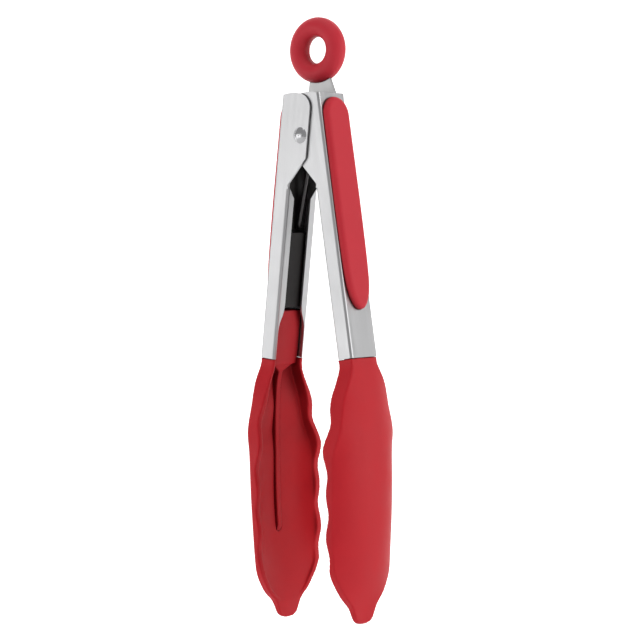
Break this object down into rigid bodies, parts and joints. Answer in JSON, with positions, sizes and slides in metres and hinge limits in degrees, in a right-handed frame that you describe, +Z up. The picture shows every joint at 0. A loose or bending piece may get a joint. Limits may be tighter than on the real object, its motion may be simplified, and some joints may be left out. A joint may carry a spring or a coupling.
{
  "type": "kitchen tongs",
  "caption": "Sprung scissor-pivot kitchen tongs with two channel arms, soft grips, scooped wavy-rimmed heads and a pull-up ring lock.",
  "frame": {"origin": "centre of the hole in the hanging ring", "axes": "+Z up from the heads to the ring, along the middle line of the open arms; +X the way the arms open, towards the inner arm; +Y along the rivet, towards the side where the lock plate lies"},
  "size_m": [0.0448, 0.0348, 0.205],
  "materials": {
    "steel": "satin",
    "bright_steel": "polished",
    "spring_wire": "satin",
    "silicone": "matte",
    "grip_rubber": "matte",
    "red_nylon": "matte",
    "black_plastic": "matte"
  },
  "bodies": {
    "hanger": {"hanging_ring": "silicone", "lock_plate": "steel"},
    "inner_side": {"inner_arm": "steel", "inner_grip": "grip_rubber", "inner_grip_carrier": "black_plastic", "inner_head_core": "red_nylon", "inner_head": "silicone", "torsion_spring": "spring_wire"},
    "outer_side": {"outer_arm": "steel", "outer_grip": "grip_rubber", "outer_grip_carrier": "black_plastic", "outer_head_core": "red_nylon", "outer_head": "silicone", "hinge_rivet": "bright_steel"}
  },
  "joints": [
    {"name": "lock_slide", "type": "slide", "parent": "hanger", "child": "inner_side", "axis": [0.134, 0, -0.991], "range_m": [0, 0.0095]},
    {"name": "arm_hinge", "type": "hinge", "parent": "inner_side", "child": "outer_side", "pos_m": [0.00229, -0.0053, -0.02946], "axis": [0, -1, 0], "range_deg": [0, 10.7], "stiffness_Nm_per_rad": 0.39, "springref_deg": -25.21, "deforming": ["torsion_spring"]}
  ],
  "couplings": [
    {"joint": "lock_slide", "follows": "arm_hinge", "m_per_rad": 0.05087}
  ]
}
